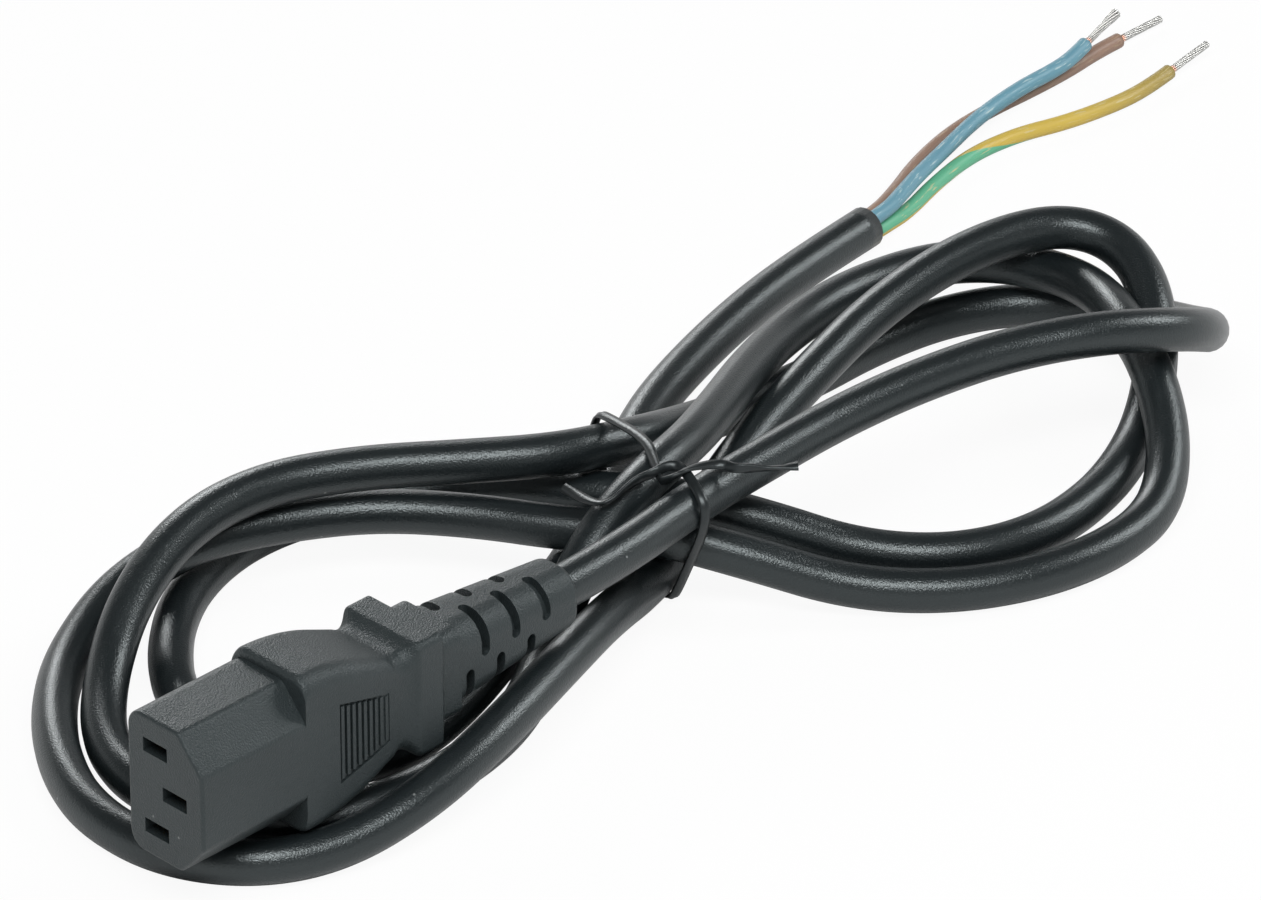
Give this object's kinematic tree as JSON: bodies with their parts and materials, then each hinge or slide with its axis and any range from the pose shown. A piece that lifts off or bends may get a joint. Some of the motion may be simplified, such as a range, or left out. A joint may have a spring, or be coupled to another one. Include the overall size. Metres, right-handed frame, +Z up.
{
  "type": "power cord",
  "caption": "Mains power cord with a moulded C13 appliance connector at one end and stripped colour-coded cores at the other, tied in a loose figure of eight.",
  "frame": {"origin": "middle of the bounding box on the table that the cord lies on", "axes": "+Z up from the table, +Y from the connector towards the stripped end, +X to the right of that"},
  "size_m": [0.1877, 0.2774, 0.0342],
  "materials": {
    "connector_plastic": "fine grained, dark grey",
    "contact_brass": "plain",
    "sheath_pvc": "satin black",
    "brown_pvc": "satin",
    "blue_pvc": "satin",
    "green_yellow_pvc": "satin, green and yellow stripes",
    "tinned_copper": "tinned strands",
    "tie_plastic": "satin black"
  },
  "bodies": {
    "root": {"nose_insert": "connector_plastic", "grip_overmould": "connector_plastic", "line_contact": "contact_brass", "neutral_contact": "contact_brass", "earth_contact": "contact_brass", "cord_sheath": "sheath_pvc", "brown_core": "brown_pvc", "blue_core": "blue_pvc", "green_yellow_core": "green_yellow_pvc", "brown_conductor": "tinned_copper", "blue_conductor": "tinned_copper", "earth_conductor": "tinned_copper", "twist_tie": "tie_plastic"}
  },
  "joints": []
}
